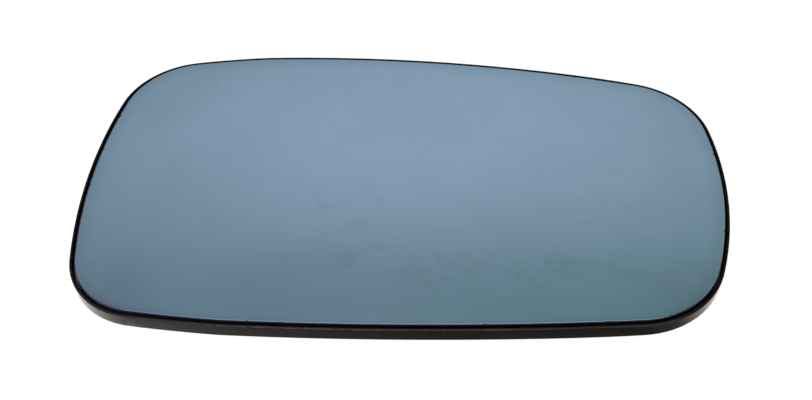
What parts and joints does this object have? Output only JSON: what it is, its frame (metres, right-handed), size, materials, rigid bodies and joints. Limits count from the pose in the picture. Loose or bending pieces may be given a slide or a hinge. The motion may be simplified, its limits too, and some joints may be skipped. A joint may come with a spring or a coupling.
{
  "type": "car door mirror glass",
  "caption": "Blue-tinted convex door mirror glass with a heating foil, in a black moulded carrier with a snap-in clip ring for the mirror actuator.",
  "frame": {"origin": "on the clip ring's axis, in the plane of the ring's guard walls, on which the part rests", "axes": "+Z out of the glass, +X along its length, +Y to its top edge"},
  "size_m": [0.1849, 0.1082, 0.0139],
  "materials": {
    "blue_mirror_glass": "polished, blue-tinted, with a ground edge",
    "heating_foil": "dull polyester film with a printed heating layer",
    "black_abs": "moulded, satin black",
    "tinned_brass": "tin-plated, satin"
  },
  "bodies": {
    "root": {"mirror_glass": "blue_mirror_glass", "heater_pad": "heating_foil", "backing_plate": "black_abs", "heater_terminal_inner": "tinned_brass", "heater_terminal_outer": "tinned_brass"}
  },
  "joints": []
}
